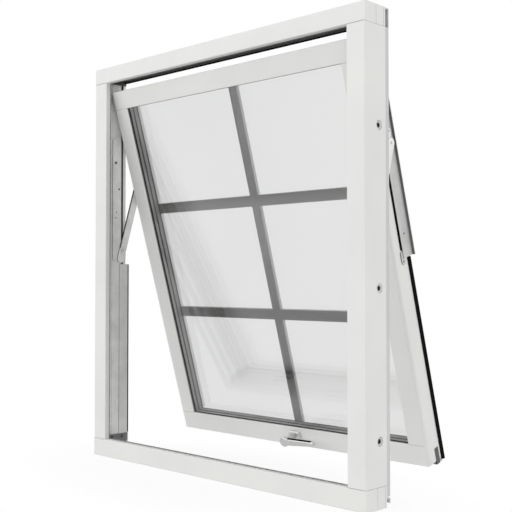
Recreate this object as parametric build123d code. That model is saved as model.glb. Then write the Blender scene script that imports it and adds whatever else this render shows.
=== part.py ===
from build123d import *
import os
from math import cos, radians

os.makedirs("parts", exist_ok=True)

# Driving sizes in millimetres. Depths are measured outward from the room face of the frame,
# and the whole model is moved back by half the frame depth when it is written.
WIDTH = 1050.0
HEIGHT = 1200.0
TIMBER_DEPTH = 82.0
CLAD_DEPTH = 14.0
FRAME_DEPTH = TIMBER_DEPTH + CLAD_DEPTH
HALF = WIDTH / 2

# Frame timbers: how far each one stands into the opening, and its thinner part behind the stop
JAMB_FACE = 55.0
HEAD_FACE = 48.0
SILL_FACE = 53.0
STOP_DEPTH = 16.0
JAMB_REBATE = 29.0
HEAD_REBATE = 26.0
SILL_REBATE = 31.0
SILL_OUTER = 25.0
EDGE_ROUND = 2.5
TENON_START = 45.0
TENON_END = 75.0
CLAD_WALL = 3.5

# Frame hardware on the rebate face of each jamb
TRACK_SKIN = 2.0
TRACK_SLOT = 9.0
TRACK_SLOT_DEPTH = 9.0
TRACK_WALL = 2.0
TRACK_FROM = 22.0
TRACK_FOOT = 32.0
TRACK_GROOVE = 0.6
GROOVE_WIDTH = 2.0
GROOVE_DEPTHS = (28.0, 34.0, 40.0)
GASKET_PROUD = 4.0
GASKET_WIDTH = 5.0
GASKET_OVER_SILL = 2.0
SCREW_HEIGHTS = (160.0, 522.0, 911.0)
SCREW_DEPTH = 55.0
SCREW_RADIUS = 3.2
SLEEVE_RADIUS = 11.5
ACCESS_RADIUS = 4.0
LOWER_COVER_FROM = 70.0
LOWER_COVER_PROUD = 11.0
COVER_WALL = 2.0
COVER_ROUND = 1.5
LINER_LIP = 3.5
KEEP_X = 300.0
KEEP_HALF = 30.0
KEEP_POCKET = 18.0

# Linkage: the arm turns on the jamb at its foot, and the sash hangs on it half-way to its top slider
PIVOT_DEPTH = 80.0
ARM_PIVOT_HEIGHT = 635.0
ARM_LENGTH = 258.0
ARM_WIDTH = 26.0
ARM_THICK = 3.0
ARM_TAIL = 27.0
ARM_INNER = 488.5
PIN_RADIUS = 4.0
PIN_PLAY = 0.06
BUSH_RADIUS = 6.0
RIVET_HEAD = 1.6
OPEN_ANGLE = 16.3

# Hinge plate on the jamb, with its screw holes as depth, height and radius
PLATE_THICK = 2.0
PLATE_DEPTH = 62.0
PLATE_HALF = 19.0
PLATE_FOOT = 601.0
PLATE_TOP = 993.0
BRIDGE_TOP = 650.0
PLATE_HOLES = ((68.0, 828.0, 3.0), (SCREW_DEPTH, 911.0, 4.5))
PLATE_CORNER = 8.0

# Sash, in its own closed place
SASH_HALF = 479.5
SASH_HEIGHT = 1120.0
SASH_BOTTOM = 42.0
SASH_FACE_DEPTH = 26.0
SASH_TIMBER = 52.0
SASH_CLAD = 16.0
STILE = 59.0
TOP_RAIL = 56.0
BOTTOM_RAIL = 58.0
SASH_ROUND = 8.0
SASH_EDGE = 3.0
GLASS_LIP = 3.5
GLASS_CATCH = 14.0
GLASS_PLAY = 2.0
SEAL_PROUD = 2.5
SIDE_SEAL_WIDTH = 14.0
END_SEAL_WIDTH = 6.0
TOP_SEAL_PROUD = 0.8

# Hardware on the side of the sash, outward from its room face and up from its foot
SASH_PLATE_FROM = 38.0
SASH_PLATE_TO = 62.0
SASH_PLATE_FOOT = 560.0
PLATE_TAB = (35.0, 550.0)
PLATE_TAB_HALF = 8.0
PLATE_TAB_TOP = 575.0
SMALL_HOLE = 2.5
COVER_FROM = 36.0
COVER_TO = 78.0
COVER_FOOT = 558.0
COVER_TOP = 970.0
COVER_REACH = 490.5
COVER_SCREW = (54.0, 618.5)
CLIP_FROM = 30.0
CLIP_TO = 46.0
CLIP_HEIGHT = 40.0
CLIP_THICK = 1.2
CLIP_LEG = 40.0
SLIDER_RADIUS = 4.2
SLIDER_PIN = 2.5

# Glazing unit: three panes and two spacer frames
GLASS_START = 5.0
PANE = 4.0
SPACER = 16.0
SPACER_WIDTH = 12.0
BAR_WIDTH = 32.0
BAR_THICK = 12.0
BAR_HEIGHTS = (393.0, 735.0)

# Window handle on the bottom rail
HANDLE_X = 18.0
HANDLE_W = 35.0
ROSE_WIDTH = 44.0
ROSE_HEIGHT = 26.0
ROSE_THICK = 9.0
NECK_RADIUS = 8.5
LEVER_STAND = 46.0
LEVER_THICK = 11.0
HUB_RADIUS = 15.0
LEVER_ROOT = 11.0
LEVER_TIP = 7.0
LEVER_RISE = 6.0
LEVER_REACH = 115.0
HANDLE_BEVEL = 2.5

# Places worked out from the sizes above
TOP_PIN_W = ARM_PIVOT_HEIGHT + 2 * ARM_LENGTH - SASH_BOTTOM
ARM_PIN_W = TOP_PIN_W - ARM_LENGTH
JAMB_INNER = HALF - JAMB_REBATE
TRACK_FACE = JAMB_INNER - TRACK_SKIN
PLATE_FACE = TRACK_FACE - PLATE_THICK
SASH_PLATE_FACE = SASH_HALF + PLATE_THICK
NODES = {}


# Drawing helpers
def outline(*points):
    """A closed flat face from its corner points."""
    return make_face(Polyline(*points, close=True))


def soften(face, radius, *corners):
    """Round the named corners of a drawn face."""
    chosen = []
    for vertex in face.vertices():
        if any(abs(vertex.X - x) + abs(vertex.Y - y) < 0.01 for x, y in corners):
            chosen.append(vertex)
    return fillet(chosen, radius)


def along_x(face, left, right):
    """Extrude a face drawn as (depth, height) from left to right."""
    plane = Plane(origin=(left, 0, 0), x_dir=(0, 1, 0), z_dir=(1, 0, 0))
    return extrude(plane * face, right - left)


def along_y(face, near, far):
    """Extrude a face drawn as (across, height) from one depth to a greater one."""
    plane = Plane(origin=(0, far, 0), x_dir=(1, 0, 0), z_dir=(0, -1, 0))
    return extrude(plane * face, far - near)


def along_z(face, low, high):
    """Extrude a face drawn as (across, depth) from one height to another."""
    return Pos(0, 0, low) * extrude(face, high - low)


def block(x0, x1, y0, y1, z0, z1):
    """A box between two corners."""
    return Pos(x0, y0, z0) * Box(x1 - x0, y1 - y0, z1 - z0, align=(Align.MIN,) * 3)


def rod(x0, x1, depth, height, radius):
    """A round bar along X."""
    turned = Pos(x0, depth, height) * Rot(0, 90, 0)
    return turned * Cylinder(radius, x1 - x0, align=(Align.CENTER, Align.CENTER, Align.MIN))


def mirrored(solid):
    """The same piece on the other side of the window."""
    return mirror(solid, about=Plane.YZ)


def opened(solid):
    """Move a sash piece from its closed place to the open place of the photograph."""
    closed_pin = Vector(0, PIVOT_DEPTH, SASH_BOTTOM + TOP_PIN_W)
    open_height = ARM_PIVOT_HEIGHT + 2 * ARM_LENGTH * cos(radians(OPEN_ANGLE))
    return Pos(0, PIVOT_DEPTH, open_height) * Rot(OPEN_ANGLE, 0, 0) * Pos(*(closed_pin * -1)) * solid


def swung(solid):
    """Move an arm from upright to its leaning place."""
    foot = Pos(0, PIVOT_DEPTH, ARM_PIVOT_HEIGHT)
    return foot * Rot(-OPEN_ANGLE, 0, 0) * Pos(0, -PIVOT_DEPTH, -ARM_PIVOT_HEIGHT) * solid


def keep(name, solid):
    """Put a finished piece on the list of nodes."""
    NODES[name] = solid


def keep_pair(name, solid, move=None):
    """Keep a right-hand piece and its mirror image on the left."""
    left = mirrored(solid)
    keep(name + "_right", move(solid) if move else solid)
    keep(name + "_left", move(left) if move else left)


# Frame timbers
def head_section():
    """Head section as (depth, height): the stop in front and the thinner part behind it."""
    return outline(
        (0, HEIGHT - HEAD_FACE),
        (0, HEIGHT),
        (TIMBER_DEPTH, HEIGHT),
        (TIMBER_DEPTH, HEIGHT - HEAD_REBATE),
        (STOP_DEPTH, HEIGHT - HEAD_REBATE),
        (STOP_DEPTH, HEIGHT - HEAD_FACE),
    )


def sill_section():
    """Sill section as (depth, height): the stop in front and a weathered slope behind it."""
    return outline(
        (0, 0),
        (TIMBER_DEPTH, 0),
        (TIMBER_DEPTH, SILL_OUTER),
        (STOP_DEPTH, SILL_REBATE),
        (STOP_DEPTH, SILL_FACE),
        (0, SILL_FACE),
    )


def end_mortises(timber):
    """Cut the open mortises that take the jamb tenons."""
    mortise = block(JAMB_INNER, HALF + 1, TENON_START, TENON_END, -1, HEIGHT + 1)
    return timber - mortise - mirrored(mortise)


def head():
    section = soften(head_section(), EDGE_ROUND, (0, HEIGHT - HEAD_FACE), (0, HEIGHT))
    return end_mortises(along_x(section, -HALF, HALF))


def sill():
    section = soften(sill_section(), EDGE_ROUND, (0, 0), (0, SILL_FACE), (STOP_DEPTH, SILL_FACE))
    return end_mortises(along_x(section, -HALF, HALF))


def jamb():
    """Right jamb: an L section scribed to the head and sill, with a tenon through each."""
    stop_edge = HALF - JAMB_FACE
    section = outline(
        (HALF, 0),
        (HALF, TIMBER_DEPTH),
        (JAMB_INNER, TIMBER_DEPTH),
        (JAMB_INNER, STOP_DEPTH),
        (stop_edge, STOP_DEPTH),
        (stop_edge, 0),
    )
    section = soften(section, EDGE_ROUND, (HALF, 0), (stop_edge, 0), (stop_edge, STOP_DEPTH))
    body = along_z(section, 0, HEIGHT)
    body -= along_x(head_section(), 0, HALF + 1)
    body -= along_x(sill_section(), 0, HALF + 1)
    body += block(JAMB_INNER, HALF, TENON_START, TENON_END, 0, HEIGHT)
    half_slot = TRACK_SLOT / 2 + TRACK_WALL
    groove_end = JAMB_INNER + TRACK_SLOT_DEPTH
    low, high = SILL_REBATE, HEIGHT - HEAD_REBATE
    body -= block(JAMB_INNER - 1, groove_end, PIVOT_DEPTH - half_slot, TIMBER_DEPTH + 1, low, high)
    for height in SCREW_HEIGHTS:
        body -= rod(JAMB_INNER - 1, HALF + 1, SCREW_DEPTH, height, SLEEVE_RADIUS)
    return body


# Frame metal and seals
def jamb_track():
    """Right track: a ribbed skin on the rebate face with a slot channel sunk in the timber."""
    half = TRACK_SLOT / 2
    outer = half + TRACK_WALL
    floor = JAMB_INNER + TRACK_SLOT_DEPTH
    section = outline(
        (TRACK_FACE, TRACK_FROM),
        (JAMB_INNER, TRACK_FROM),
        (JAMB_INNER, PIVOT_DEPTH - outer),
        (floor, PIVOT_DEPTH - outer),
        (floor, PIVOT_DEPTH + outer),
        (JAMB_INNER, PIVOT_DEPTH + outer),
        (JAMB_INNER, FRAME_DEPTH - 2),
        (TRACK_FACE, FRAME_DEPTH - 2),
        (TRACK_FACE, PIVOT_DEPTH + half),
        (floor - TRACK_WALL, PIVOT_DEPTH + half),
        (floor - TRACK_WALL, PIVOT_DEPTH - half),
        (TRACK_FACE, PIVOT_DEPTH - half),
    )
    top = HEIGHT - HEAD_REBATE - 2
    track = along_z(section, TRACK_FOOT, top)
    for depth in GROOVE_DEPTHS:
        end = depth + GROOVE_WIDTH
        track -= block(TRACK_FACE - 1, TRACK_FACE + TRACK_GROOVE, depth, end, TRACK_FOOT - 1, top + 1)
    for height in SCREW_HEIGHTS:
        track -= rod(TRACK_FACE - 1, JAMB_INNER + 1, SCREW_DEPTH, height, ACCESS_RADIUS)
    return track


def hinge_plate():
    """Right hinge plate: round-topped beside the slot, joined across it round the arm's fixed pin."""
    near, far = PLATE_DEPTH - PLATE_HALF, PIVOT_DEPTH + 14
    arch = PLATE_TOP - PLATE_HALF
    shape = outline((near, PLATE_FOOT), (far, PLATE_FOOT), (far, arch), (near, arch))
    shape = soften(shape, PLATE_CORNER, (near, PLATE_FOOT), (far, PLATE_FOOT))
    shape += Pos(PLATE_DEPTH, arch) * Circle(PLATE_HALF)
    slot_edge = PIVOT_DEPTH - TRACK_SLOT / 2 - 0.5
    shape -= outline(
        (slot_edge, BRIDGE_TOP),
        (far + 1, BRIDGE_TOP),
        (far + 1, HEIGHT),
        (slot_edge, HEIGHT),
    )
    for depth, height, radius in PLATE_HOLES:
        shape -= Pos(depth, height) * Circle(radius)
    plate = along_x(shape, PLATE_FACE, TRACK_FACE)
    pin = rod(ARM_INNER - 0.3, PLATE_FACE, PIVOT_DEPTH, ARM_PIVOT_HEIGHT, PIN_RADIUS)
    rivet = rod(ARM_INNER - 0.3 - RIVET_HEAD, ARM_INNER - 0.3, PIVOT_DEPTH, ARM_PIVOT_HEIGHT, BUSH_RADIUS)
    return plate + pin + rivet


def lower_cover():
    """Right lower cover: carries the jamb's edge outward below the arm, up to the sash cover."""
    proud = FRAME_DEPTH + LOWER_COVER_PROUD
    back = HALF - 16
    section = outline(
        (PLATE_FACE, LOWER_COVER_FROM),
        (PLATE_FACE, proud),
        (back + COVER_WALL, proud),
        (back + COVER_WALL, FRAME_DEPTH),
        (back, FRAME_DEPTH),
        (back, proud - COVER_WALL),
        (TRACK_FACE, proud - COVER_WALL),
        (TRACK_FACE, LOWER_COVER_FROM),
    )
    section = soften(section, COVER_ROUND, (PLATE_FACE, proud), (back + COVER_WALL, proud))
    return along_z(section, TRACK_FOOT, SASH_BOTTOM + COVER_FOOT - 8)


def jamb_cladding():
    """Right jamb cladding: an angle on the outer face of the timber, open behind."""
    section = outline(
        (HALF, TIMBER_DEPTH),
        (HALF, FRAME_DEPTH),
        (JAMB_INNER, FRAME_DEPTH),
        (JAMB_INNER, FRAME_DEPTH - 2),
        (HALF - CLAD_WALL, FRAME_DEPTH - 2),
        (HALF - CLAD_WALL, TIMBER_DEPTH),
    )
    section = soften(section, COVER_ROUND, (HALF, FRAME_DEPTH))
    return along_z(section, SILL_OUTER + 1, HEIGHT - HEAD_FACE)


def head_cladding():
    """Head cladding: a channel with a drip lip, whose outer wall laps the jambs at its open ends."""
    low, high = HEIGHT - HEAD_REBATE - 2, HEIGHT - 1
    inner = FRAME_DEPTH - CLAD_WALL
    lap = outline(
        (TIMBER_DEPTH, high),
        (FRAME_DEPTH, high),
        (FRAME_DEPTH, HEIGHT - HEAD_FACE),
        (inner, HEIGHT - HEAD_FACE),
        (inner, high - CLAD_WALL),
        (TIMBER_DEPTH, high - CLAD_WALL),
    )
    end = along_x(soften(lap, COVER_ROUND, (FRAME_DEPTH, high)), JAMB_INNER, HALF)
    section = outline(
        (TIMBER_DEPTH, high),
        (FRAME_DEPTH, high),
        (FRAME_DEPTH, low),
        (inner, low),
        (inner, low + 3),
        (TIMBER_DEPTH, low + 3),
        (TIMBER_DEPTH, low + 3 + CLAD_WALL),
        (inner, low + 3 + CLAD_WALL),
        (inner, high - CLAD_WALL),
        (TIMBER_DEPTH, high - CLAD_WALL),
    )
    middle = along_x(soften(section, COVER_ROUND, (FRAME_DEPTH, high)), -JAMB_INNER, JAMB_INNER)
    return middle + end + mirrored(end)


def head_liner():
    """Metal skin across the head rebate, with a down-turned lip inside the cladding."""
    low = HEIGHT - HEAD_REBATE - TRACK_SKIN
    far = FRAME_DEPTH - CLAD_WALL
    skin = block(-JAMB_INNER, JAMB_INNER, TRACK_FROM, far, low, low + TRACK_SKIN)
    lip = block(-TRACK_FACE, TRACK_FACE, far - TRACK_SKIN, far, low - LINER_LIP, low)
    return skin + lip


def sill_cladding():
    """Sill cladding: a sloping cover with a front leg, open below."""
    inner = FRAME_DEPTH - CLAD_WALL
    section = outline(
        (TIMBER_DEPTH, SILL_OUTER),
        (FRAME_DEPTH, SILL_OUTER - 3),
        (FRAME_DEPTH, 10),
        (inner, 10),
        (inner, SILL_OUTER - 3 - CLAD_WALL),
        (TIMBER_DEPTH, SILL_OUTER - CLAD_WALL),
    )
    return along_x(soften(section, COVER_ROUND, (FRAME_DEPTH, SILL_OUTER - 3)), -HALF, HALF)


def frame_gasket():
    """Seal round the back of the stop, facing the sash, and standing just over the sill."""
    half = HALF - JAMB_FACE
    low, high = SILL_FACE, HEIGHT - HEAD_FACE
    y0, y1 = STOP_DEPTH, STOP_DEPTH + GASKET_PROUD
    out = GASKET_WIDTH
    ring = block(-half - out, half + out, y0, y1, low - out, high + out)
    side = half + EDGE_ROUND
    return ring - block(-side, side, y0 - 1, y1 + 1, low + GASKET_OVER_SILL, high + EDGE_ROUND)


def screw_sleeves():
    """Adjustable sleeves for the frame screws, three in each jamb."""
    solids = []
    for height in SCREW_HEIGHTS:
        sleeve = rod(JAMB_INNER, HALF, SCREW_DEPTH, height, SLEEVE_RADIUS)
        sleeve -= rod(JAMB_INNER - 1, HALF + 1, SCREW_DEPTH, height, SCREW_RADIUS)
        solids += [sleeve, mirrored(sleeve)]
    return Compound(solids)


def lock_keeps():
    """Two keeps for the sash bolts, bedded on the slope of the sill."""
    x0, x1 = KEEP_X - KEEP_HALF, KEEP_X + KEEP_HALF
    pocket0, pocket1 = KEEP_X - KEEP_POCKET, KEEP_X + KEEP_POCKET
    keeper = block(x0, x1, STOP_DEPTH + 8, STOP_DEPTH + 30, SILL_OUTER, SILL_REBATE + 2.5)
    keeper -= block(pocket0, pocket1, STOP_DEPTH + 14, STOP_DEPTH + 24, SILL_OUTER - 1, SILL_REBATE + 3)
    keeper -= along_x(sill_section(), 0, HALF)
    return Compound([keeper, mirrored(keeper)])


# Linkage
def arm():
    """Right arm, upright: a flat bar with round ends, a tail below the foot and two bores."""
    low, high = ARM_PIVOT_HEIGHT - ARM_TAIL, ARM_PIVOT_HEIGHT + ARM_LENGTH
    near, far = PIVOT_DEPTH - ARM_WIDTH / 2, PIVOT_DEPTH + ARM_WIDTH / 2
    shape = outline((near, low), (far, low), (far, high), (near, high))
    for height in (low, high):
        shape += Pos(PIVOT_DEPTH, height) * Circle(ARM_WIDTH / 2)
    for height in (ARM_PIVOT_HEIGHT, high):
        shape -= Pos(PIVOT_DEPTH, height) * Circle(PIN_RADIUS + PIN_PLAY)
    return along_x(shape, ARM_INNER, ARM_INNER + ARM_THICK)


# Sash pieces, drawn closed: outward from the sash's room face and up from its foot
def s_block(x0, x1, n0, n1, w0, w1):
    """A box in sash sizes."""
    y, z = SASH_FACE_DEPTH, SASH_BOTTOM
    return block(x0, x1, y + n0, y + n1, z + w0, z + w1)


def s_outline(*points):
    """A sash face drawn as (outward, up), in its closed place."""
    return outline(*[(SASH_FACE_DEPTH + n, SASH_BOTTOM + w) for n, w in points])


def s_rod(x0, x1, n, w, radius):
    """A round bar along X in sash sizes."""
    return rod(x0, x1, SASH_FACE_DEPTH + n, SASH_BOTTOM + w, radius)


def edges_at(body, axis, x=None, y=None, z=None):
    """Straight edges along an axis, at the given places."""
    chosen = body.edges().filter_by(axis)
    for side, place in ((Axis.X, x), (Axis.Y, y), (Axis.Z, z)):
        if place is not None:
            chosen = chosen.filter_by_position(side, place - 0.01, place + 0.01)
    return chosen


def rail_section(outer, inner, sign):
    """Rail section as (depth, height), from the outer edge to the lip in front of the glass."""
    return s_outline(
        (0, outer),
        (0, inner - sign * 1.5),
        (1.5, inner),
        (GLASS_LIP, inner),
        (GLASS_LIP, inner - sign * GLASS_CATCH),
        (SASH_TIMBER, inner - sign * GLASS_CATCH),
        (SASH_TIMBER, outer),
    )


def stile():
    """Right stile: a glazing rebate inside, a rounded edge outside, and ends scribed to the rails."""
    inner = SASH_HALF - STILE
    y = SASH_FACE_DEPTH
    section = outline(
        (inner + 1.5, y),
        (SASH_HALF, y),
        (SASH_HALF, y + SASH_TIMBER),
        (inner + GLASS_CATCH, y + SASH_TIMBER),
        (inner + GLASS_CATCH, y + GLASS_LIP),
        (inner, y + GLASS_LIP),
        (inner, y + 1.5),
    )
    section = soften(section, SASH_ROUND, (SASH_HALF, y))
    low, high = BOTTOM_RAIL - GLASS_CATCH, SASH_HEIGHT - TOP_RAIL + GLASS_CATCH
    body = along_z(section, SASH_BOTTOM + low, SASH_BOTTOM + high)
    body -= along_x(rail_section(0, BOTTOM_RAIL, 1), 0, SASH_HALF + 1)
    return body - along_x(rail_section(SASH_HEIGHT, SASH_HEIGHT - TOP_RAIL, -1), 0, SASH_HALF + 1)


def rail(outer, inner, sign):
    """A sash rail from its outer edge to its inner edge, rounded like the stiles at its ends."""
    section = rail_section(outer, inner, sign)
    section = soften(section, SASH_EDGE, (SASH_FACE_DEPTH, SASH_BOTTOM + outer))
    body = along_x(section, -SASH_HALF, SASH_HALF)
    for x in (-SASH_HALF, SASH_HALF):
        body = fillet(edges_at(body, Axis.Z, x=x, y=SASH_FACE_DEPTH), SASH_ROUND)
    return body


def clad_points(outer, inner, sign):
    """Sash cladding corners as (outward, across): a bevelled cover over the timber and glass edge."""
    n0, n1 = SASH_TIMBER, SASH_TIMBER + SASH_CLAD
    return ((n0, outer), (n1, outer), (n1, inner + sign * 6), (n0, inner))


def stile_cladding():
    """Right stile cladding, bevelled towards the glass."""
    points = clad_points(SASH_HALF, SASH_HALF - STILE + 3, 1)
    face = outline(*[(x, SASH_FACE_DEPTH + n) for n, x in points])
    return along_z(face, SASH_BOTTOM + BOTTOM_RAIL, SASH_BOTTOM + SASH_HEIGHT - TOP_RAIL)


def top_cladding():
    points = clad_points(SASH_HEIGHT, SASH_HEIGHT - TOP_RAIL + 3, 1)
    return along_x(s_outline(*points), -SASH_HALF, SASH_HALF)


def bottom_cladding():
    """Bottom rail cladding with a drip leg below the sash."""
    points = clad_points(0, BOTTOM_RAIL - 3, -1)
    body = along_x(s_outline(*points), -SASH_HALF, SASH_HALF)
    return body + s_block(-SASH_HALF, SASH_HALF, SASH_TIMBER + 3, SASH_TIMBER + 6, -6, 0)


def glass_edge():
    """Half width, foot and top of the glazing unit inside its rebate."""
    inset = GLASS_CATCH - GLASS_PLAY
    return SASH_HALF - STILE + inset, BOTTOM_RAIL - inset, SASH_HEIGHT - TOP_RAIL + inset


def pane(n0):
    """One sheet of glass."""
    x, w0, w1 = glass_edge()
    return s_block(-x, x, n0, n0 + PANE, w0, w1)


def glass_frame(n0, n1):
    """A spacer or seal that runs round the edge of the glass."""
    x, w0, w1 = glass_edge()
    width = SPACER_WIDTH
    hole = s_block(-x + width, x - width, n0 - 1, n1 + 1, w0 + width, w1 - width)
    return s_block(-x, x, n0, n1, w0, w1) - hole


def glazing_bars():
    """Outer glazing bars: one upright, and two level bars in halves, all with eased edges."""
    n0 = GLASS_START + 3 * PANE + 2 * SPACER
    n1 = n0 + BAR_THICK
    half = BAR_WIDTH / 2
    side = SASH_HALF - STILE + 3
    low, high = BOTTOM_RAIL - 3, SASH_HEIGHT - TOP_RAIL + 3
    upright = s_block(-half, half, n0, n1, low, high)
    outer = SASH_FACE_DEPTH + n1
    upright = chamfer(edges_at(upright, Axis.Z, y=outer), 2.5)
    solids = [upright]
    for height in BAR_HEIGHTS:
        level = s_block(half, side, n0, n1 - 0.5, height - half, height + half)
        level = chamfer(edges_at(level, Axis.X, y=outer - 0.5), 2.5)
        solids += [level, mirrored(level)]
    return solids[0].fuse(*solids[1:])


def sash_seal():
    """Black seals on the sash: wide up both sides to the covers, narrow along the foot and top."""
    outer = SASH_TIMBER + SASH_CLAD
    edge = SASH_HALF + SEAL_PROUD
    side = s_block(SASH_HALF, edge, outer - SIDE_SEAL_WIDTH, outer, 0, COVER_FOOT - 2)
    foot = s_block(-edge, edge, outer - END_SEAL_WIDTH, outer, -SEAL_PROUD, 0)
    top_edge = SASH_HEIGHT + TOP_SEAL_PROUD
    top = s_block(-SASH_HALF, SASH_HALF, outer - END_SEAL_WIDTH, outer, SASH_HEIGHT, top_edge)
    return Compound([foot + side + mirrored(side), top])


def sash_plate():
    """Right sash plate: a strip with a small foot tab, carrying the arm's pin and the slider's pin."""
    top = TOP_PIN_W + 9
    shape = s_outline(
        (SASH_PLATE_FROM, SASH_PLATE_FOOT),
        (SASH_PLATE_TO, SASH_PLATE_FOOT),
        (SASH_PLATE_TO, top),
        (SASH_PLATE_FROM, top),
    )
    n, w = PLATE_TAB
    near, far = n - PLATE_TAB_HALF, n + PLATE_TAB_HALF
    shape += s_outline((near, w), (far, w), (far, PLATE_TAB_TOP), (near, PLATE_TAB_TOP))
    end = Pos(SASH_FACE_DEPTH + n, SASH_BOTTOM + w)
    shape = shape + end * Circle(PLATE_TAB_HALF) - end * Circle(SMALL_HOLE)
    plate = along_x(shape, SASH_HALF, SASH_PLATE_FACE)
    n = PIVOT_DEPTH - SASH_FACE_DEPTH
    plate += s_rod(SASH_PLATE_FACE, ARM_INNER - 0.3, n, ARM_PIN_W, BUSH_RADIUS)
    plate += s_rod(ARM_INNER - 0.3, ARM_INNER + ARM_THICK, n, ARM_PIN_W, PIN_RADIUS)
    plate += s_rod(SASH_PLATE_FACE, ARM_INNER - 1.5, n, TOP_PIN_W, BUSH_RADIUS)
    plate += s_rod(ARM_INNER - 1.5, TRACK_FACE + 7, n, TOP_PIN_W, SLIDER_PIN)
    return plate


def top_slider():
    """Right slider: the round sleeve that runs in the slot of the track."""
    n = PIVOT_DEPTH - SASH_FACE_DEPTH
    sleeve = s_rod(PLATE_FACE, TRACK_FACE + 7, n, TOP_PIN_W, SLIDER_RADIUS)
    return sleeve - s_rod(PLATE_FACE - 1, TRACK_FACE + 8, n, TOP_PIN_W, SLIDER_PIN)


def upper_cover():
    """Right upper cover: an angle on the sash plate whose outer leg hides the gap beside the jamb."""
    y = SASH_FACE_DEPTH
    web = SASH_PLATE_FACE + 1.5
    leg = y + COVER_TO - COVER_WALL
    section = outline(
        (SASH_PLATE_FACE, y + COVER_FROM),
        (web, y + COVER_FROM),
        (web, leg),
        (COVER_REACH, leg),
        (COVER_REACH, y + COVER_TO),
        (SASH_PLATE_FACE, y + COVER_TO),
    )
    section = soften(section, COVER_ROUND - 0.1, (SASH_PLATE_FACE, y + COVER_TO))
    cover = along_z(section, SASH_BOTTOM + COVER_FOOT, SASH_BOTTOM + COVER_TOP)
    cover -= s_rod(SASH_PLATE_FACE - 1, web + 1, PIVOT_DEPTH - y, ARM_PIN_W, BUSH_RADIUS + 1)
    return cover - s_rod(SASH_PLATE_FACE - 1, web + 1, *COVER_SCREW, SMALL_HOLE)


def corner_clips():
    """Bare metal corner pieces at the foot of both stiles."""
    n0, n1 = CLIP_FROM, CLIP_TO
    outer = SASH_HALF + CLIP_THICK
    clip = s_block(SASH_HALF, outer, n0, n1, -5, CLIP_HEIGHT)
    clip += s_block(SASH_HALF - CLIP_LEG, outer, n0, n1, -5, 0)
    return Compound([opened(clip), opened(mirrored(clip))])


# Handle
def handle_base():
    """Handle rose on the room face of the bottom rail."""
    face = Pos(HANDLE_X, SASH_BOTTOM + HANDLE_W) * RectangleRounded(ROSE_WIDTH, ROSE_HEIGHT, 12)
    rose = along_y(face, SASH_FACE_DEPTH - ROSE_THICK, SASH_FACE_DEPTH)
    return chamfer(rose.faces().sort_by(Axis.Y)[0].edges(), HANDLE_BEVEL)


def handle_lever():
    """Lever: a round neck, a hub at its end and a tapered grip that lies along the rail."""
    z = SASH_BOTTOM + HANDLE_W
    tip = HANDLE_X + LEVER_REACH - LEVER_TIP
    hub = Pos(HANDLE_X, z) * Circle(HUB_RADIUS)
    tip_z = z + LEVER_RISE
    taper = outline(
        (HANDLE_X, z + LEVER_ROOT),
        (tip, tip_z + LEVER_TIP),
        (tip, tip_z - LEVER_TIP),
        (HANDLE_X, z - LEVER_ROOT),
    )
    shape = hub + taper + Pos(tip, tip_z) * Circle(LEVER_TIP)
    far = SASH_FACE_DEPTH - LEVER_STAND
    lever = along_y(shape, far - LEVER_THICK, far)
    lever = chamfer(lever.faces().sort_by(Axis.Y)[0].edges(), HANDLE_BEVEL)
    neck = Pos(HANDLE_X, z) * Circle(NECK_RADIUS)
    return lever + along_y(neck, far, SASH_FACE_DEPTH - ROSE_THICK - 0.3)


def build_frame():
    keep("frame_head", head())
    keep("frame_sill", sill())
    keep_pair("jamb", jamb())
    keep_pair("track", jamb_track())
    keep_pair("hinge_plate", hinge_plate())
    keep_pair("lower_cover", lower_cover())
    keep_pair("jamb_cladding", jamb_cladding())
    keep("head_cladding", head_cladding())
    keep("head_liner", head_liner())
    keep("sill_cladding", sill_cladding())
    keep("frame_gasket", frame_gasket())
    keep("screw_sleeves", screw_sleeves())
    keep("lock_keeps", lock_keeps())


def build_sash():
    keep("sash_bottom_rail", opened(rail(0, BOTTOM_RAIL, 1)))
    keep("sash_top_rail", opened(rail(SASH_HEIGHT, SASH_HEIGHT - TOP_RAIL, -1)))
    keep_pair("sash_stile", stile(), opened)
    keep_pair("stile_cladding", stile_cladding(), opened)
    keep("bottom_cladding", opened(bottom_cladding()))
    keep("top_cladding", opened(top_cladding()))
    for index, name in enumerate(("glass_inner", "glass_middle", "glass_outer")):
        keep(name, opened(pane(GLASS_START + index * (PANE + SPACER))))
    for index, name in enumerate(("spacer_inner", "spacer_outer")):
        start = GLASS_START + PANE + index * (PANE + SPACER)
        keep(name, opened(glass_frame(start, start + SPACER)))
    keep("glazing_gasket", opened(glass_frame(GLASS_LIP, GLASS_START)))
    keep("glazing_bars", opened(glazing_bars()))
    keep("sash_seal", opened(sash_seal()))
    keep_pair("sash_plate", sash_plate(), opened)
    keep_pair("top_slider", top_slider(), opened)
    keep_pair("upper_cover", upper_cover(), opened)
    keep("corner_clips", corner_clips())
    keep("handle_base", opened(handle_base()))
    keep("handle_lever", opened(handle_lever()))


build_frame()
keep_pair("arm", arm(), swung)
build_sash()
for name, solid in NODES.items():
    export_step(Pos(0, -FRAME_DEPTH / 2, 0) * solid, f"parts/{name}.step")
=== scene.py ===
import math

import bmesh
import bpy
from mathutils import Matrix, Vector


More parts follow.
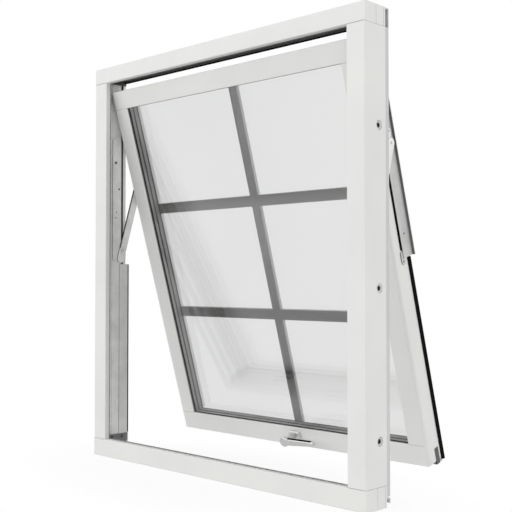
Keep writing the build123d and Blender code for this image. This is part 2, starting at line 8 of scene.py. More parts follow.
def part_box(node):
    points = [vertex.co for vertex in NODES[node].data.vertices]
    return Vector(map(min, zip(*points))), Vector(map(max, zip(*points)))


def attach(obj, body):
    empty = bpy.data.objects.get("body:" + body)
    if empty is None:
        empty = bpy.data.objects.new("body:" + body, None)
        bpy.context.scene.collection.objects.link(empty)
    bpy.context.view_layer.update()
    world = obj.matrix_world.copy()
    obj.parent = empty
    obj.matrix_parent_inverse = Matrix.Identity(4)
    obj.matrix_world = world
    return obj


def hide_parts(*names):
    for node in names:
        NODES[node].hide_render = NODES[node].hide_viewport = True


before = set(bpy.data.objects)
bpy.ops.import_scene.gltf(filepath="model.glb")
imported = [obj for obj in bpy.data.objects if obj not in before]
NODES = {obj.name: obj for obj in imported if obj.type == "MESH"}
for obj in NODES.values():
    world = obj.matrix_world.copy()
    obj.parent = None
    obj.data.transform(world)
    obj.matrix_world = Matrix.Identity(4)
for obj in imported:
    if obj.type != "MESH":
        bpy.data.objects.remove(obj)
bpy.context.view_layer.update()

# Camera at the photograph's viewing angle
CAMERA_PLACE = (1.8113, -1.7575, 0.5419)
CAMERA_TURN = (91.5, 0.0, 43.8)
CAMERA_LENS = 64.14
SENSOR_WIDTH = 36.0

# The sash leans out by this angle at rest
SASH_LEAN = math.radians(16.3)
MM = 0.001

# Places shared with the hardware, in metres
SCREW_HEIGHTS = (0.160, 0.522, 0.911)
SCREW_ROW = 0.007
FOOT_HEIGHTS = (0.034, 0.060)
TOP_HEIGHTS = (1.1582, 1.1718)
HALF_WIDTH = 0.525

# Sash sizes in millimetres: across, outward from its room face, and up from its foot
SLIDE_PIN = (0.0, 0.032, 1.13026)
SASH_FRAME = (
    Matrix.Translation(SLIDE_PIN)
    @ Matrix.Rotation(SASH_LEAN, 4, "X")
    @ Matrix.Translation((0.0, -0.054, -1.109))
)
GLASS_SIDE, GLASS_FOOT, GLASS_TOP = 420.5, 58.0, 1064.0
STILE_ROUND_AT = 472.0

# The arms' own upright position, turned about their foot pins
ARM_FOOT = Vector((0.0, 0.032, 0.635))
ARM_FRAME = (
    Matrix.Translation(ARM_FOOT)
    @ Matrix.Rotation(-SASH_LEAN, 4, "X")
    @ Matrix.Translation(-ARM_FOOT)
)

# Strength of the surround as a light, and of what shows through the glass between that and white
WORLD_LIGHT = 0.735
THROUGH_GLASS = 0.26
TOP_POWER = 6.0

# Soft bright regions of the surround: direction, least cosine, strength
GLOWS = (((-0.55, -0.80, 0.24), 0.55, 0.98), ((0.97, 0.22, 0.10), 0.70, 1.02))

# Edges: points closer than this are joined, and corners sharper than these angles are eased or kept sharp
WELD_DISTANCE = 0.00001
ARRIS_ANGLE = math.radians(28)
SHARP_ANGLE = math.radians(32)

# Sockets of the mix node that carry colours
MIX_FIRST, MIX_SECOND, MIX_RESULT = 6, 7, 2


# Node helpers
def shader(name):
    """A new material with its node tree, its main shader and a coordinate output."""
    made = bpy.data.materials.new(name)
    made.use_nodes = True
    tree = made.node_tree
    place = tree.nodes.new("ShaderNodeTexCoord")
    return made, tree, tree.nodes["Principled BSDF"], place.outputs["Object"]


def mapped(tree, source, stretch, lean=0.0):
    """Coordinates turned with a leaning piece, then divided by a size along each axis."""
    node = tree.nodes.new("ShaderNodeMapping")
    node.vector_type = "TEXTURE"
    node.inputs["Rotation"].default_value = (lean, 0.0, 0.0)
    node.inputs["Scale"].default_value = stretch
    tree.links.new(source, node.inputs["Vector"])
    return node.outputs["Vector"]


def noise(tree, source, scale, detail=3.0, rough=0.5):
    node = tree.nodes.new("ShaderNodeTexNoise")
    node.inputs["Scale"].default_value = scale
    node.inputs["Detail"].default_value = detail
    node.inputs["Roughness"].default_value = rough
    tree.links.new(source, node.inputs["Vector"])
    return node.outputs["Fac"]


def ramp(tree, source, low, high, first, last):
    """Two colours blended over a range of a value."""
    node = tree.nodes.new("ShaderNodeValToRGB")
    node.color_ramp.elements[0].position = low
    node.color_ramp.elements[1].position = high
    node.color_ramp.elements[0].color = (*first, 1.0)
    node.color_ramp.elements[1].color = (*last, 1.0)
    tree.links.new(source, node.inputs["Fac"])
    return node.outputs["Color"]


def spread(tree, source, low, high):
    """A value from 0 to 1 carried to a range, for roughness."""
    node = tree.nodes.new("ShaderNodeMapRange")
    node.inputs["To Min"].default_value = low
    node.inputs["To Max"].default_value = high
    tree.links.new(source, node.inputs["Value"])
    return node.outputs["Result"]


def bump(tree, height, distance, strength, before=None):
    node = tree.nodes.new("ShaderNodeBump")
    node.inputs["Strength"].default_value = strength
    node.inputs["Distance"].default_value = distance
    tree.links.new(height, node.inputs["Height"])
    if before:
        tree.links.new(before, node.inputs["Normal"])
    return node.outputs["Normal"]


# Finishes
def painted_timber(name, along, lean=0.0, tone=0.80):
    """White paint over planed timber: a faint grain along the piece and a sprayed skin."""
    made, tree, bsdf, place = shader(name)
    fine, long = 0.004, 0.16
    stretch = [fine, fine, fine]
    stretch["xyz".index(along)] = long
    grain = noise(tree, mapped(tree, place, stretch, lean), 1.0, 4.0, 0.6)
    skin = noise(tree, mapped(tree, place, (1.0, 1.0, 1.0), lean), 900.0, 2.0)
    cloud = noise(tree, place, 7.0, 2.0)
    warm = (tone, tone, tone * 0.975)
    cool = (tone * 0.965, tone * 0.968, tone * 0.955)
    tree.links.new(ramp(tree, cloud, 0.35, 0.65, cool, warm), bsdf.inputs["Base Color"])
    tree.links.new(spread(tree, grain, 0.34, 0.46), bsdf.inputs["Roughness"])
    first = bump(tree, grain, 0.00022, 0.35)
    tree.links.new(bump(tree, skin, 0.00008, 0.25, first), bsdf.inputs["Normal"])
    bsdf.inputs["Specular IOR Level"].default_value = 0.4
    return made


def coated_metal(name, tone):
    """Powder-coated aluminium: a fine orange-peel skin with a low sheen."""
    made, tree, bsdf, place = shader(name)
    peel = noise(tree, place, 1400.0, 2.0)
    cloud = noise(tree, place, 9.0, 2.0)
    light = (tone, tone, tone * 0.99)
    dark = (tone * 0.95, tone * 0.95, tone * 0.945)
    tree.links.new(ramp(tree, cloud, 0.35, 0.65, dark, light), bsdf.inputs["Base Color"])
    tree.links.new(spread(tree, peel, 0.38, 0.48), bsdf.inputs["Roughness"])
    tree.links.new(bump(tree, peel, 0.00008, 0.4), bsdf.inputs["Normal"])
    return made


def painted_edge_shade(tree, colour, tone):
    """Painted shade: a darker colour on the faces that don't face along X, the sheet's edges and bends,
    where shadow gaps fall.
    """
    shape = tree.nodes.new("ShaderNodeNewGeometry")
    split = tree.nodes.new("ShaderNodeSeparateXYZ")
    tree.links.new(shape.outputs["True Normal"], split.inputs["Vector"])
    size = tree.nodes.new("ShaderNodeMath")
    size.operation = "ABSOLUTE"
    tree.links.new(split.outputs["X"], size.inputs[0])
    flat = tree.nodes.new("ShaderNodeMapRange")
    flat.inputs["From Min"].default_value = 0.3
    flat.inputs["From Max"].default_value = 0.7
    tree.links.new(size.outputs["Value"], flat.inputs["Value"])
    mix = tree.nodes.new("ShaderNodeMix")
    mix.data_type = "RGBA"
    tree.links.new(flat.outputs["Result"], mix.inputs["Factor"])
    mix.inputs[MIX_FIRST].default_value = (tone, tone, tone, 1.0)
    tree.links.new(colour, mix.inputs[MIX_SECOND])
    return mix.outputs[MIX_RESULT]


def drawn_metal(name, tone, along="z", lean=0.0, rough=(0.34, 0.50), metal=0.2, edge_shade_tone=None):
    """Bare metal with draw lines along its length, slight tarnish and, where an edge shade tone is given,
    painted shade on the faces that don't face along X.
    """
    made, tree, bsdf, place = shader(name)
    stretch = [0.0012, 0.0012, 0.0012]
    stretch["xyz".index(along)] = 0.25
    lines = noise(tree, mapped(tree, place, stretch, lean), 1.0, 3.0, 0.6)
    cloud = noise(tree, place, 22.0, 3.0)
    light = (tone, tone, tone * 0.985)
    dark = (tone * 0.84, tone * 0.84, tone * 0.83)
    colour = ramp(tree, cloud, 0.3, 0.7, dark, light)
    # Painted shade: with an edge shade tone, faces that don't face along X are darkened towards it.
    if edge_shade_tone is not None:
        colour = painted_edge_shade(tree, colour, edge_shade_tone)
    tree.links.new(colour, bsdf.inputs["Base Color"])
    tree.links.new(spread(tree, lines, *rough), bsdf.inputs["Roughness"])
    tree.links.new(bump(tree, lines, 0.00012, 0.5), bsdf.inputs["Normal"])
    bsdf.inputs["Metallic"].default_value = metal
    return made


def satin_metal(name, tone):
    """Cast metal with a blasted satin finish."""
    made, tree, bsdf, place = shader(name)
    grit = noise(tree, place, 2600.0, 2.0)
    cloud = noise(tree, place, 60.0, 2.0)
    light = (tone, tone, tone * 0.99)
    dark = (tone * 0.9, tone * 0.9, tone * 0.89)
    tree.links.new(ramp(tree, cloud, 0.35, 0.65, dark, light), bsdf.inputs["Base Color"])
    tree.links.new(spread(tree, grit, 0.26, 0.40), bsdf.inputs["Roughness"])
    tree.links.new(bump(tree, grit, 0.00004, 0.3), bsdf.inputs["Normal"])
    bsdf.inputs["Metallic"].default_value = 0.8
    return made


def rubber(name, tone=0.002):
    """Black extruded rubber, slightly dusty."""
    made, tree, bsdf, place = shader(name)
    bsdf.inputs["Specular IOR Level"].default_value = 0.04
    dust = noise(tree, place, 160.0, 4.0)
    grip = noise(tree, place, 1800.0, 2.0)
    deep = (tone, tone, tone)
    dusty = (tone * 2.2, tone * 2.2, tone * 2.1)
    tree.links.new(ramp(tree, dust, 0.4, 0.8, deep, dusty), bsdf.inputs["Base Color"])
    tree.links.new(spread(tree, dust, 0.55, 0.75), bsdf.inputs["Roughness"])
    tree.links.new(bump(tree, grip, 0.00005, 0.4), bsdf.inputs["Normal"])
    return made


def moulded_plastic(name, tone, rough=(0.42, 0.55)):
    """Injection-moulded plastic with a fine matt texture."""
    made, tree, bsdf, place = shader(name)
    grit = noise(tree, place, 1500.0, 3.0)
    cloud = noise(tree, place, 40.0, 2.0)
    light = (tone, tone, tone)
    dark = (tone * 0.9, tone * 0.9, tone * 0.9)
    tree.links.new(ramp(tree, cloud, 0.35, 0.65, dark, light), bsdf.inputs["Base Color"])
    tree.links.new(spread(tree, grit, *rough), bsdf.inputs["Roughness"])
    tree.links.new(bump(tree, grit, 0.00006, 0.35), bsdf.inputs["Normal"])
    return made


def window_glass(name, tone):
    """Clear float glass with a faint tint and the slow waviness of a toughened sheet."""
    made, tree, bsdf, place = shader(name)
    wave = noise(tree, place, 2.5, 1.0)
    cloud = noise(tree, place, 1.2, 1.0)
    light = (tone, tone * 1.003, tone)
    dark = (tone * 0.99, tone * 0.994, tone * 0.991)
    tree.links.new(ramp(tree, cloud, 0.35, 0.65, dark, light), bsdf.inputs["Base Color"])
    tree.links.new(bump(tree, wave, 0.0004, 0.2), bsdf.inputs["Normal"])
    bsdf.inputs["Roughness"].default_value = 0.0
    bsdf.inputs["Transmission Weight"].default_value = 1.0
    bsdf.inputs["IOR"].default_value = 1.5
    return made


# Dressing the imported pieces
def dress(name, finish, edge=0.0, segments=2):
    """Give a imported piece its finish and, where wanted, a fine eased arris."""
    piece = NODES[name]
    piece.data.materials.clear()
    piece.data.materials.append(finish)
    if edge:
        weld = piece.modifiers.new("weld", "WELD")
        weld.merge_threshold = WELD_DISTANCE
        ease = piece.modifiers.new("arris", "BEVEL")
        ease.width = edge
        ease.segments = segments
        ease.limit_method = "ANGLE"
        ease.angle_limit = ARRIS_ANGLE
        ease.harden_normals = True
        tidy = piece.modifiers.new("shading", "WEIGHTED_NORMAL")
        tidy.keep_sharp = True


def pair(name):
    return name + "_left", name + "_right"


def dress_all():
    timber_up = painted_timber("timber_upright", "z")
    timber_level = painted_timber("timber_level", "x")
    sash_up = painted_timber("sash_timber_upright", "z", SASH_LEAN)
    sash_level = painted_timber("sash_timber_level", "x", SASH_LEAN)
    coated = coated_metal("coated_aluminium", 0.62)
    coated_sash = coated_metal("coated_aluminium_sash", 0.70)
    # Painted shade: the edge shade tones darken the edges and bends of the track, plates, arms and covers
    # where shadow gaps fall.
    mill = drawn_metal("mill_aluminium", 0.94, edge_shade_tone=0.10)
    cover_mill = drawn_metal("mill_aluminium_cover", 0.80, edge_shade_tone=0.20)
    # Painted shade: the head liner's aluminium gets a dark tone that stands for the shade in the head
    # recess.
    shaded_head_mill = drawn_metal("mill_aluminium_head_shade", 0.20, "x")
    steel = drawn_metal("zinc_steel", 0.94, edge_shade_tone=0.03)
    arm_steel = drawn_metal("zinc_steel_arm", 0.95, "z", -SASH_LEAN, edge_shade_tone=0.02)
    sash_steel = drawn_metal("zinc_steel_sash", 0.62, "z", SASH_LEAN, edge_shade_tone=0.05)
    cover = drawn_metal("cover_aluminium", 0.66, "z", SASH_LEAN, edge_shade_tone=0.16)
    black = rubber("black_rubber")
    grey_rubber = rubber("grey_rubber", 0.22)
    bars = coated_metal("grey_bars", 0.45)
    spacer = coated_metal("grey_spacer", 0.66)
    plastic = moulded_plastic("pale_plastic", 0.72)
    dark_plastic = moulded_plastic("dark_plastic", 0.10)
    block = moulded_plastic("block_plastic", 0.19)
    socket = moulded_plastic("socket_plastic", 0.03)
    handle = satin_metal("satin_handle", 0.70)
    glass = window_glass("window_glass", 0.99)

    timber_edge, metal_edge = 0.8 * MM, 0.3 * MM
    for name in pair("jamb"):
        dress(name, timber_up, timber_edge)
    for name in ("frame_head", "frame_sill"):
        dress(name, timber_level, timber_edge)
    for name in pair("sash_stile"):
        dress(name, sash_up, timber_edge)
    for name in ("sash_bottom_rail", "sash_top_rail"):
        dress(name, sash_level, timber_edge)
    for name in pair("track"):
        dress(name, mill, metal_edge)
    for name in pair("hinge_plate"):
        dress(name, steel, metal_edge)
    for name in pair("lower_cover"):
        dress(name, cover_mill, metal_edge)
    # The head liner's dark tone is painted shade.
    dress("head_liner", shaded_head_mill, metal_edge)
    for name in (*pair("jamb_cladding"), "head_cladding", "sill_cladding"):
        dress(name, coated, metal_edge)
    for name in (*pair("stile_cladding"), "bottom_cladding", "top_cladding"):
        dress(name, coated_sash, metal_edge)
    dress("frame_gasket", grey_rubber, 0.4 * MM)
    for name in ("glazing_gasket", "sash_seal"):
        dress(name, black, 0.4 * MM)
    for name in ("spacer_inner", "spacer_outer"):
        dress(name, spacer, metal_edge)
    for name in ("glass_inner", "glass_middle", "glass_outer"):
        dress(name, glass)
    for name in pair("arm"):
        dress(name, arm_steel, 0.5 * MM)
    for name in pair("sash_plate"):
        dress(name, sash_steel, metal_edge)
    for name in pair("upper_cover"):
        dress(name, cover, metal_edge)
    for name in pair("top_slider"):
        dress(name, dark_plastic, metal_edge)
    dress("glazing_bars", bars, 0.5 * MM)
    dress("screw_sleeves", plastic, 0.5 * MM)
    dress("lock_keeps", steel, 0.5 * MM)
    dress("corner_clips", dark_plastic, metal_edge)
    for name in ("handle_base", "handle_lever"):
        dress(name, handle, 1.0 * MM, 3)
    return {"black": black, "dark": dark_plastic, "plastic": plastic, "block": block,
            "socket": socket, "light_steel": arm_steel, "mill": mill}


# New pieces
def finished(name, mesh, finish, body, smooth=True, place=None):
    """Turn a bmesh into a piece that rides on a body, moved first where a place is given."""
    if place is not None:
        mesh.transform(place)
    bmesh.ops.recalc_face_normals(mesh, faces=mesh.faces)
    data = bpy.data.meshes.new(name)
    mesh.to_mesh(data)
    mesh.free()
    if smooth:
        data.shade_smooth()
        data.set_sharp_from_angle(angle=SHARP_ANGLE)
    piece = bpy.data.objects.new(name, data)
    bpy.context.scene.collection.objects.link(piece)
    data.materials.append(finish)
    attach(piece, body)
    return piece


def ease_edges(piece, width, segments=2):
    ease = piece.modifiers.new("arris", "BEVEL")
    ease.width = width
    ease.segments = segments
    ease.limit_method = "ANGLE"
    ease.angle_limit = ARRIS_ANGLE
    ease.harden_normals = True


def turned(mesh, profile, place, axis, steps=32):
    """Spin a profile of (radius, height) pairs round an axis through a place."""
    turn = Vector((0, 0, 1)).rotation_difference(Vector(axis)).to_matrix()
    rings = []
    for radius, height in profile:
        ring = []
        for step in range(steps):
            angle = 2 * math.pi * step / steps
            point = Vector((radius * math.cos(angle), radius * math.sin(angle), height))
            ring.append(mesh.verts.new(Vector(place) + turn @ point))
        rings.append(ring)
    for lower, upper in zip(rings, rings[1:]):
        for step in range(steps):
            after = (step + 1) % steps
            mesh.faces.new((lower[step], lower[after], upper[after], upper[step]))
    mesh.faces.new(reversed(rings[0]))
    mesh.faces.new(rings[-1])


def cuboid(mesh, low, high):
    size = Vector(high) - Vector(low)
    middle = (Vector(high) + Vector(low)) / 2
    placed = Matrix.Translation(middle) @ Matrix.Diagonal((*size, 1.0))
    bmesh.ops.create_cube(mesh, size=1.0, matrix=placed)


def mm_box(mesh, across, depth, height):
    """A box from its ranges along X, Y and Z in millimetres."""
    ranges = [sorted(pair_of_ends) for pair_of_ends in (across, depth, height)]
    cuboid(mesh, [low * MM for low, high in ranges], [high * MM for low, high in ranges])


def bar_outline(start, end, radius, steps=12):
    """Outline of a round-ended bar between two places."""
    lean = math.atan2(end[1] - start[1], end[0] - start[0])
    points = []
    for middle, first in ((end, lean - math.pi / 2), (start, lean + math.pi / 2)):
        for step in range(steps + 1):
            angle = first + math.pi * step / steps
            points.append((middle[0] + radius * math.cos(angle), middle[1] + radius * math.sin(angle)))
    return points


def slab(mesh, points, near, far):
    """A flat plate across X from an outline of (outward, up), in millimetres."""
    first = [mesh.verts.new((near * MM, n * MM, w * MM)) for n, w in points]
    last = [mesh.verts.new((far * MM, n * MM, w * MM)) for n, w in points]
    mesh.faces.new(first)
    mesh.faces.new(reversed(last))
    for step in range(len(points)):
        after = (step + 1) % len(points)
        mesh.faces.new((first[step], last[step], last[after], first[after]))


def screw_profile(radius, depth):
    """A domed screw head with a round socket sunk in its middle."""
    socket = radius * 0.45
    return (
        (radius, -depth),
        (radius, -0.0004),
        (radius * 0.85, 0.0),
        (socket * 1.1, 0.0003),
        (socket, -0.0002),
        (socket * 0.9, -0.0016),
    )


def foot_blocks(finishes):
    """A moulded block with two screws at the foot of each track, and a darker block at its top."""
    thick, eased = 0.004, 0.0008
    foot_from, foot_to = -0.0255, 0.0535
    top_from, top_to = -0.026, 0.0455
    screw_rows, screw_height = (-0.006, 0.032), 0.052
    screw = screw_profile(0.0052, 0.002)
    for side, sign in (("left", -1), ("right", 1)):
        low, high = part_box("track_" + side)
        face = low.x if sign > 0 else high.x
        low_z, high_z = FOOT_HEIGHTS
        mesh = bmesh.new()
        near, far = face, face - sign * thick
        cuboid(mesh, (min(near, far), foot_from, low_z), (max(near, far), foot_to, high_z))
        block = finished("foot_block_" + side, mesh, finishes["block"], "frame", False)
        ease_edges(block, eased)
        mesh = bmesh.new()
        for row in screw_rows:
            turned(mesh, screw, (far, row, screw_height), (-sign, 0, 0), 20)
        finished("foot_screws_" + side, mesh, finishes["black"], "frame")
        mesh = bmesh.new()
        low_z, high_z = TOP_HEIGHTS
        cuboid(mesh, (min(near, far), top_from, low_z), (max(near, far), top_to, high_z))
        top = finished("top_block_" + side, mesh, finishes["dark"], "frame", False)
        ease_edges(top, eased)


def frame_screws(finishes):
    """A fixing screw behind the top access hole in each track, and plugs in the lower two."""
    plug = ((0.0039, -0.0008), (0.0039, -0.0002), (0.0037, 0.0), (0.001, 0.0))
    screw = screw_profile(0.0035, 0.0008)
    screw_across, plug_across = 0.4956, 0.4941
    for side, sign in (("left", -1), ("right", 1)):
        mesh = bmesh.new()
        place = (sign * screw_across, SCREW_ROW, SCREW_HEIGHTS[-1])
        turned(mesh, screw, place, (-sign, 0, 0), 24)
        finished("frame_screws_" + side, mesh, finishes["socket"], "frame")
        mesh = bmesh.new()
        for height in SCREW_HEIGHTS[:-1]:
            turned(mesh, plug, (sign * plug_across, SCREW_ROW, height), (-sign, 0, 0), 24)
        finished("track_plugs_" + side, mesh, finishes["mill"], "frame")


def shadow_gap_strips(finishes):
    """Painted shadow: black strips along the metal where shadow gaps fall, at the track's room edge, the
    lower cover's outer edge and the arm's edge.
    """
    line_foot, track_line_top, cover_short = 62.0, 1156.0, 1.0
    track_thick, track_wide = 0.8, 5.0
    cover_sunk, cover_proud = 0.2, 0.3
    cover_inner, cover_outer = 4.6, 0.5
    arm_near, arm_far = 488.2, 488.7
    arm_depths, arm_heights = (19.2, 21.4), (640.0, 886.0)
    # Each black strip below paints the shadow in a gap: beside the track, along the lower cover and beside
    # the arm.
    for side, sign in (("left", -1), ("right", 1)):
        low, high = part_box("track_" + side)
        face = (low.x if sign > 0 else high.x) / MM
        rows = (low.y / MM, low.y / MM + track_wide)
        mesh = bmesh.new()
        mm_box(mesh, (face, face - sign * track_thick), rows, (line_foot, track_line_top))
        finished("track_shadow_line_" + side, mesh, finishes["black"], "frame", False)
        low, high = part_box("lower_cover_" + side)
        face, edge = (low.x if sign > 0 else high.x) / MM, high.y / MM
        across = (face + sign * cover_sunk, face - sign * cover_proud)
        heights = (line_foot, high.z / MM - cover_short)
        mesh = bmesh.new()
        mm_box(mesh, across, (edge - cover_inner, edge - cover_outer), heights)
        finished("cover_shadow_line_" + side, mesh, finishes["black"], "frame", False)
        mesh = bmesh.new()
        mm_box(mesh, (sign * arm_near, sign * arm_far), arm_depths, arm_heights)
        finished("arm_shadow_line_" + side, mesh, finishes["black"], side + "_arm", False, ARM_FRAME)


def sleeves(finishes):
    """Adjustable sleeves in the jambs: a flush ring round a dark hexagonal socket."""
    ring_profile = (
        (0.0104, -0.0285),
        (0.0104, -0.0010),
        (0.0098, -0.0004),
        (0.0084, -0.0004),
        (0.0064, -0.0024),
        (0.0064, -0.0130),
    )
    socket_profile = (
        (0.0063, -0.0128),
        (0.0063, -0.0026),
        (0.0058, -0.0020),
        (0.0037, -0.0020),
        (0.0034, -0.0026),
        (0.0034, -0.0090),
    )
    rings, sockets = bmesh.new(), bmesh.new()
    for sign in (-1, 1):
        for height in SCREW_HEIGHTS:
            place = (sign * HALF_WIDTH, SCREW_ROW, height)
            turned(rings, ring_profile, place, (sign, 0, 0), 40)
            turned(sockets, socket_profile, place, (sign, 0, 0), 6)
    ring = finished("sleeve_rings", rings, finishes["plastic"], "frame")
    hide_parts("screw_sleeves")
    finished("sleeve_sockets", sockets, finishes["socket"], "frame", False)


def stud_profile(radius):
    """A low domed rivet head."""
    return (
        (radius, -0.0012),
        (radius, -0.0001),
        (radius * 0.8, 0.0002),
        (radius * 0.3, 0.0003),
    )


def studs(finishes):
    """Small rivets on the hinge plates, the arms' feet and the side covers, coloured near-black as painted
    shade for the dark holes there.
    """
    plate_across, foot_across = 0.4918, 0.4867
    plate_places = ((0.020, 0.828, 0.0026), (0.010, 0.755, 0.002), (0.007, 0.737, 0.002))
    cover_places = ((0.4832, 0.054, 0.6185), (0.4818, 0.035, 0.550))
    foot_radius, cover_radius = 0.0018, 0.0022
    for side, sign in (("left", -1), ("right", 1)):
        mesh = bmesh.new()
        for row, height, radius in plate_places:
            turned(mesh, stud_profile(radius), (sign * plate_across, row, height), (-sign, 0, 0), 20)
        foot = (sign * foot_across, 0.032, 0.635)
        turned(mesh, stud_profile(foot_radius), foot, (-sign, 0, 0), 20)
        # Near-black rivet heads: painted shade for the dark holes.
        finished("plate_rivets_" + side, mesh, finishes["socket"], "frame")
        mesh = bmesh.new()
        for across, n, w in cover_places:
            turned(mesh, stud_profile(cover_radius), (sign * across, n, w), (sign, 0, 0), 20)
        finished("cover_rivets_" + side, mesh, finishes["socket"], "sash", True, SASH_FRAME)


def hinge_tabs(finishes):
    """A round-ended tab on each side cover, round the arm's upper pin and above it."""
    outline = bar_outline((54.0, 850.0), (61.0, 880.0), 9.0)
    near, far, eased = 483.1, 485.0, 0.0003
    rivet_across, rivet_radius = 0.4852, 0.0024
    for side, sign in (("left", -1), ("right", 1)):
        mesh = bmesh.new()
        slab(mesh, outline, sign * near, sign * far)
        name, finish = "hinge_tab_" + side, finishes["light_steel"]
        tab = finished(name, mesh, finish, "sash", False, SASH_FRAME)
        ease_edges(tab, eased)
        mesh = bmesh.new()
        place = (sign * rivet_across, 0.061, 0.880)
        turned(mesh, stud_profile(rivet_radius), place, (sign, 0, 0), 20)
        # The tab's near-black rivet is painted shade for the hole at the pin.
        finished("tab_rivet_" + side, mesh, finishes["socket"], "sash", True, SASH_FRAME)


def seal_and_gap_shadow_strips(finishes):
    """Black strips: painted shadow in the gap beside each side cover on the sash, and a seal under the lip
    of the head whose black also paints the shade of the head recess.
    """
    near, far = 479.5, 481.2
    cover_depths, cover_heights = (30.5, 35.9), (580.0, 968.0)
    head_half, head_eased = 493.5, 0.0006
    head_depths, head_heights = (41.0, 44.4), (1164.8, 1168.6)
    for side, sign in (("left", -1), ("right", 1)):
        # Painted shadow: a black strip in the gap beside the side cover.
        mesh = bmesh.new()
        mm_box(mesh, (sign * near, sign * far), cover_depths, cover_heights)
        finished("cover_gap_shadow_" + side, mesh, finishes["black"], "sash", False, SASH_FRAME)
    # A seal under the head's lip, its black also painting the shade of the head recess.
    mesh = bmesh.new()
    mm_box(mesh, (-head_half, head_half), head_depths, head_heights)
    seal = finished("head_seal_and_recess_shade", mesh, finishes["black"], "frame", False)
    ease_edges(seal, head_eased)


def glass_lines(finishes):
    """Black sealant lines where each pane meets its spacer."""
    mesh = bmesh.new()
    proud, sunk = 0.5, 0.6
    side, foot, top = GLASS_SIDE, GLASS_FOOT, GLASS_TOP
    pane_faces = ((9.05, 13.5), (24.0, 24.95), (29.05, 30.0), (43.5, 44.95))
    for depth in pane_faces:
        for sign in (-1, 1):
            mm_box(mesh, (sign * (side - proud), sign * (side + sunk)), depth, (foot - sunk, top + sunk))
        mm_box(mesh, (-side, side), depth, (foot - sunk, foot + proud))
        mm_box(mesh, (-side, side), depth, (top - proud, top + sunk))
    finished("glass_sealant", mesh, finishes["black"], "sash", False, SASH_FRAME)


def joint_shadow_lines(finishes):
    """Painted shadow: dark hairlines where the timbers meet, standing for the shadow in each joint's gap, on
    the room face and on the jamb sides.
    """
    wide, proud, deep = 0.3, 0.015, 1.2
    room_face, half_width = -48.0, 525.0
    jamb_inner, jamb_outer, side_rows = 470.5, 523.0, (-46.0, 33.8)
    sill_joint, head_joint = 53.0, 1152.0
    comb_rows, comb_heights = (-3.0, 27.0), ((2.0, 53.0), (1152.0, 1198.0))
    # Each dark strip below is painted shadow in a joint.
    mesh = bmesh.new()
    for sign in (-1, 1):
        jamb_side = (sign * (half_width - deep), sign * (half_width + proud))
        jamb_front = (sign * jamb_inner, sign * jamb_outer)
        for height in (sill_joint, head_joint):
            joint = (height - wide, height + wide)
            mm_box(mesh, jamb_front, (room_face - proud, room_face + deep), joint)
            mm_box(mesh, jamb_side, side_rows, joint)
        for row in comb_rows:
            joint = (row - wide, row + wide)
            for heights in comb_heights:
                mm_box(mesh, jamb_side, joint, heights)
    finished("frame_joint_shadows", mesh, finishes["dark"], "frame", False)
    mesh = bmesh.new()
    for sign in (-1, 1):
        for w in (GLASS_FOOT, GLASS_TOP):
            joint = (w - wide, w + wide)
            mm_box(mesh, (sign * GLASS_SIDE, sign * STILE_ROUND_AT), (-proud, deep), joint)
    finished("sash_joint_shadows", mesh, finishes["dark"], "sash", False, SASH_FRAME)


def handle_top_shadow(finishes):
    """Painted shadow: a black strip along the upper edge of the handle lever, standing for the contact
    shadow there.
    """
    mesh = bmesh.new()
    mm_box(mesh, (-45.0, 45.0), (-4.2, 4.2), (-1.0, 0.35))
    rise = math.atan2(2.0, 108.0)
    place = SASH_FRAME @ Matrix.Translation((0.077, -0.0512, 0.0471)) @ Matrix.Rotation(-rise, 4, "Y")
    # Painted shadow: the black strip stands for the lever's contact shadow.
    grip = finished("handle_top_shadow_strip", mesh, finishes["black"], "handle", False, place)
    ease_edges(grip, 0.0003)


# Studio
def white_to_view(tree):
    """Full white where the surround is seen directly, and a softer strength where it lights the object."""
    path = tree.nodes.new("ShaderNodeLightPath")
    seen = tree.nodes.new("ShaderNodeMath")
    seen.operation = "MULTIPLY_ADD"
    tree.links.new(path.outputs["Is Transmission Ray"], seen.inputs[0])
    seen.inputs[1].default_value = THROUGH_GLASS
    tree.links.new(path.outputs["Is Camera Ray"], seen.inputs[2])
    blend = tree.nodes.new("ShaderNodeMapRange")
    blend.inputs["To Min"].default_value = WORLD_LIGHT
    blend.inputs["To Max"].default_value = 1.0
    tree.links.new(seen.outputs["Value"], blend.inputs["Value"])
    return blend.outputs["Result"]


def brighter(tree, strength, towards, least, glow):
    """Add a smooth bright region of the surround, centred on a direction."""
    place = tree.nodes.new("ShaderNodeTexCoord")
    near = tree.nodes.new("ShaderNodeVectorMath")
    near.operation = "DOT_PRODUCT"
    tree.links.new(place.outputs["Generated"], near.inputs[0])
    near.inputs[1].default_value = Vector(towards).normalized()
    fade = tree.nodes.new("ShaderNodeMapRange")
    fade.interpolation_type = "SMOOTHSTEP"
    fade.inputs["From Min"].default_value = least
    fade.inputs["To Max"].default_value = glow
    tree.links.new(near.outputs["Value"], fade.inputs["Value"])
    total = tree.nodes.new("ShaderNodeMath")
    tree.links.new(strength, total.inputs[0])
    tree.links.new(fade.outputs["Result"], total.inputs[1])
    return total.outputs["Value"]


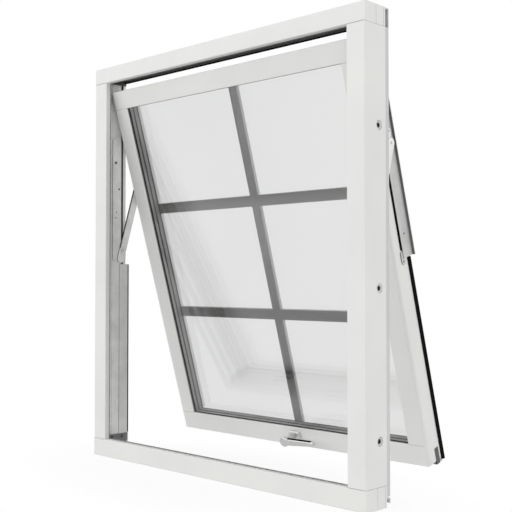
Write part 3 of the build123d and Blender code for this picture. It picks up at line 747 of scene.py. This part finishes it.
def floor_finish():
    """Pale floor that turns into the white surround further out."""
    made, tree, bsdf, place = shader("floor_finish")
    cloud = noise(tree, place, 3.0, 2.0)
    colour = ramp(tree, cloud, 0.3, 0.7, (0.93, 0.93, 0.93), (0.95, 0.95, 0.95))
    tree.links.new(colour, bsdf.inputs["Base Color"])
    bsdf.inputs["Roughness"].default_value = 0.9
    bsdf.inputs["Specular IOR Level"].default_value = 0.1
    length = tree.nodes.new("ShaderNodeVectorMath")
    length.operation = "LENGTH"
    tree.links.new(mapped(tree, place, (1.0, 0.5, 1.0)), length.inputs[0])
    fade = tree.nodes.new("ShaderNodeMapRange")
    fade.interpolation_type = "SMOOTHSTEP"
    fade_from, fade_to, least_glow = 0.45, 0.95, 0.88
    fade.inputs["From Min"].default_value = fade_from
    fade.inputs["From Max"].default_value = fade_to
    fade.inputs["To Min"].default_value = least_glow
    tree.links.new(length.outputs["Value"], fade.inputs["Value"])
    glow = tree.nodes.new("ShaderNodeEmission")
    tree.links.new(white_to_view(tree), glow.inputs["Strength"])
    mix = tree.nodes.new("ShaderNodeMixShader")
    tree.links.new(fade.outputs["Result"], mix.inputs["Fac"])
    tree.links.new(bsdf.outputs["BSDF"], mix.inputs[1])
    tree.links.new(glow.outputs["Emission"], mix.inputs[2])
    tree.links.new(mix.outputs["Shader"], tree.nodes["Material Output"].inputs["Surface"])
    return made


def floor():
    mesh = bmesh.new()
    bmesh.ops.create_circle(mesh, cap_ends=True, radius=40.0, segments=96)
    data = bpy.data.meshes.new("floor")
    mesh.to_mesh(data)
    mesh.free()
    made = bpy.data.objects.new("floor", data)
    bpy.context.scene.collection.objects.link(made)
    data.materials.append(floor_finish())
    made.location.z = -0.0005


def soft_light(name, place, target, size, power):
    light = bpy.data.lights.new(name, "AREA")
    light.shape = "DISK"
    light.size = size
    light.energy = power
    made = bpy.data.objects.new(name, light)
    bpy.context.scene.collection.objects.link(made)
    made.location = place
    made.rotation_euler = (Vector(target) - Vector(place)).to_track_quat("-Z", "Y").to_euler()


def studio():
    world = bpy.data.worlds.new("studio")
    world.use_nodes = True
    tree = world.node_tree
    tree.nodes["Background"].inputs["Color"].default_value = (1.0, 1.0, 1.0, 1.0)
    strength = white_to_view(tree)
    for towards, least, glow in GLOWS:
        strength = brighter(tree, strength, towards, least, glow)
    tree.links.new(strength, tree.nodes["Background"].inputs["Strength"])
    bpy.context.scene.world = world
    bpy.context.scene.view_settings.view_transform = "Standard"
    place, target, size = (0.3, -0.6, 3.4), (0.0, 0.0, 0.3), 2.4
    soft_light("top_light", place, target, size, TOP_POWER)


def camera():
    data = bpy.data.cameras.new("camera")
    data.lens = CAMERA_LENS
    data.sensor_width = SENSOR_WIDTH
    made = bpy.data.objects.new("camera", data)
    bpy.context.scene.collection.objects.link(made)
    made.location = CAMERA_PLACE
    made.rotation_euler = [math.radians(angle) for angle in CAMERA_TURN]
    bpy.context.scene.camera = made


FINISHES = dress_all()
foot_blocks(FINISHES)
frame_screws(FINISHES)
shadow_gap_strips(FINISHES)
sleeves(FINISHES)
studs(FINISHES)
hinge_tabs(FINISHES)
seal_and_gap_shadow_strips(FINISHES)
glass_lines(FINISHES)
joint_shadow_lines(FINISHES)
handle_top_shadow(FINISHES)
floor()
studio()
camera()
